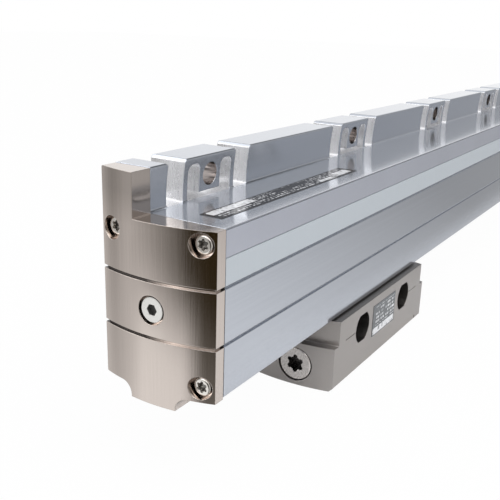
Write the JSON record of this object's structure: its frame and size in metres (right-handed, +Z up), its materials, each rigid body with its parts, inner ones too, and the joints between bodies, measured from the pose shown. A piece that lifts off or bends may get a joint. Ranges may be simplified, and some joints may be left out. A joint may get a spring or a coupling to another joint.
{
  "type": "linear glass scale",
  "caption": "Sealed linear glass scale: extruded housing with a lugged mounting spar, capped ends and a scanning head that slides along the slot underneath.",
  "frame": {"origin": "axis of the middle spar hole where it meets the machine face", "axes": "+X along the measuring length, +Y out of the back into the machine, +Z up from the housing to the spar"},
  "size_m": [0.4712, 0.0396, 0.0858],
  "materials": {
    "anodised_aluminium": "fine satin, clear anodised, slightly blue",
    "inlay_foil": "smooth satin strip let into the front",
    "nickel": "warm nickel, fine vertical grain",
    "block_nickel": "satin nickel, fine grain",
    "bright_screw": "bright nickel-plated steel",
    "pale_plug": "pale satin with a hexagon socket",
    "gasket_rubber": "matt black rubber",
    "lip_rubber": "matt black elastomer",
    "scale_glass": "polished glass with ground edges",
    "chrome_track": "fine bright lines on the glass",
    "bond": "soft pale adhesive",
    "label_print": "printed film in dark and pale fields, no words",
    "data_print": "fine dark marks and a pale bar, no words",
    "steel": "ground stainless steel",
    "bearing_steel": "polished bearing steel",
    "carriage_alloy": "milled aluminium",
    "brass": "turned brass, gold plated",
    "socket_insert": "moulded black plastic",
    "board": "green solder mask",
    "chip": "moulded black package",
    "photo_cell": "dark blue silicon",
    "lamp_lens": "clear resin",
    "optic_glass": "polished optical glass",
    "lead_film": "amber film"
  },
  "bodies": {
    "housing": {"housing_profile": "anodised_aluminium", "front_inlay_strip": "inlay_foil", "name_label": "label_print", "sealing_lip_front": "lip_rubber", "sealing_lip_back": "lip_rubber", "glass_scale": "scale_glass", "graduation_tracks": "chrome_track", "scale_bond": "bond", "end_cap_near": "nickel", "end_cap_far": "nickel", "cap_gasket_near": "gasket_rubber", "cap_gasket_far": "gasket_rubber", "cap_screws_near": "bright_screw", "cap_screws_far": "bright_screw", "air_port_plug_near": "pale_plug", "air_port_plug_far": "pale_plug", "air_port_washers": "gasket_rubber"},
    "scanning_unit": {"mounting_block": "block_nickel", "data_plate": "data_print", "block_end_plug": "block_nickel", "plug_seal": "gasket_rubber", "cable_socket_shell": "bright_screw", "cable_socket_insert": "socket_insert", "cable_socket_contacts": "brass", "signal_board": "board", "signal_board_chips": "chip", "signal_board_screws": "steel", "block_cover": "block_nickel", "cover_screws": "steel", "coupling_blade": "steel", "blade_screws": "steel", "coupling_pin": "steel", "carriage_frame": "carriage_alloy", "roller_pins": "steel", "roller_spacers": "brass", "lamp_board": "board", "lamp": "lamp_lens", "condenser_lens": "optic_glass", "scanning_reticle": "optic_glass", "sensor_board": "board", "photo_cells": "photo_cell", "sensor_board_chips": "chip", "carriage_screws": "steel", "flat_lead": "lead_film"},
    "face_roller_near": {"face_roller_near": "bearing_steel"},
    "face_roller_far": {"face_roller_far": "bearing_steel"},
    "face_roller_top": {"face_roller_top": "bearing_steel"},
    "edge_roller_near": {"edge_roller_near": "bearing_steel"},
    "edge_roller_far": {"edge_roller_far": "bearing_steel"}
  },
  "joints": [
    {"name": "scan_slide", "type": "slide", "parent": "housing", "child": "scanning_unit", "axis": [1, 0, 0], "range_m": [-0.0492, 0.2908]},
    {"name": "face_roller_near_spin", "type": "hinge", "parent": "scanning_unit", "child": "face_roller_near", "pos_m": [-0.1448, -0.024, -0.03025], "axis": [0, 0, 1], "continuous": true},
    {"name": "face_roller_far_spin", "type": "hinge", "parent": "scanning_unit", "child": "face_roller_far", "pos_m": [-0.0968, -0.024, -0.03025], "axis": [0, 0, 1], "continuous": true},
    {"name": "face_roller_top_spin", "type": "hinge", "parent": "scanning_unit", "child": "face_roller_top", "pos_m": [-0.1208, -0.024, -0.02085], "axis": [0, 0, 1], "continuous": true},
    {"name": "edge_roller_near_spin", "type": "hinge", "parent": "scanning_unit", "child": "edge_roller_near", "pos_m": [-0.1348, -0.0184, -0.0366], "axis": [0, 1, 0], "continuous": true},
    {"name": "edge_roller_far_spin", "type": "hinge", "parent": "scanning_unit", "child": "edge_roller_far", "pos_m": [-0.1068, -0.0184, -0.0366], "axis": [0, 1, 0], "continuous": true}
  ],
  "couplings": [
    {"joint": "face_roller_near_spin", "follows": "scan_slide", "rad_per_m": 333.33},
    {"joint": "face_roller_far_spin", "follows": "scan_slide", "rad_per_m": 333.33},
    {"joint": "face_roller_top_spin", "follows": "scan_slide", "rad_per_m": 333.33},
    {"joint": "edge_roller_near_spin", "follows": "scan_slide", "rad_per_m": -333.33},
    {"joint": "edge_roller_far_spin", "follows": "scan_slide", "rad_per_m": -333.33}
  ]
}
